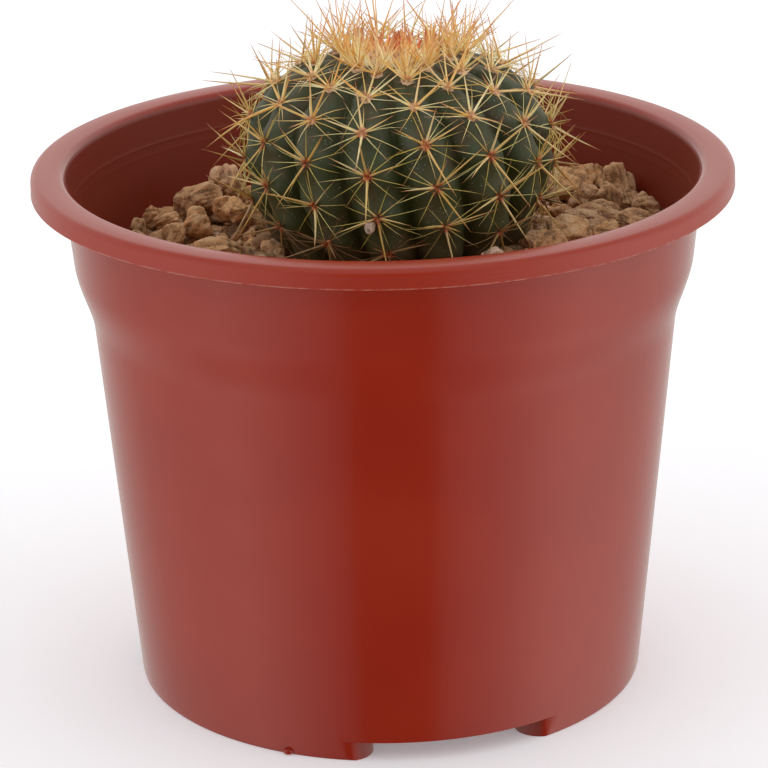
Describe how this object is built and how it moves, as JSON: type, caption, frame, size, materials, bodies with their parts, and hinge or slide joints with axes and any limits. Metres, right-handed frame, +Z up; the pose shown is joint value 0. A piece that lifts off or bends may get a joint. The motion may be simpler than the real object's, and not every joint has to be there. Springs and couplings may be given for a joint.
{
  "type": "potted round cactus",
  "caption": "Young ribbed round cactus with star-like spine clusters, growing in gravel in a tapered red-brown plastic nursery pot that stands on feet.",
  "frame": {"origin": "middle of the circle that the pot's feet stand on, at the level of the surface", "axes": "+Z up along the pot's axis, -Y towards the front, where a drain channel opens a little to the right, +X to the right"},
  "size_m": [0.12, 0.12, 0.1215],
  "materials": {
    "pot_plastic": "satin injection-moulded plastic, red-brown",
    "soil": "loose dark potting mix",
    "gravel": "rough porous tan stones",
    "stem_skin": "waxy dark blue-green plant skin",
    "spines": "stiff straw-yellow spines with red-brown tips",
    "wool": "short cream plant wool"
  },
  "bodies": {
    "root": {"pot": "pot_plastic", "soil": "soil", "gravel": "gravel", "cactus": "stem_skin", "crown": "spines"}
  },
  "joints": []
}
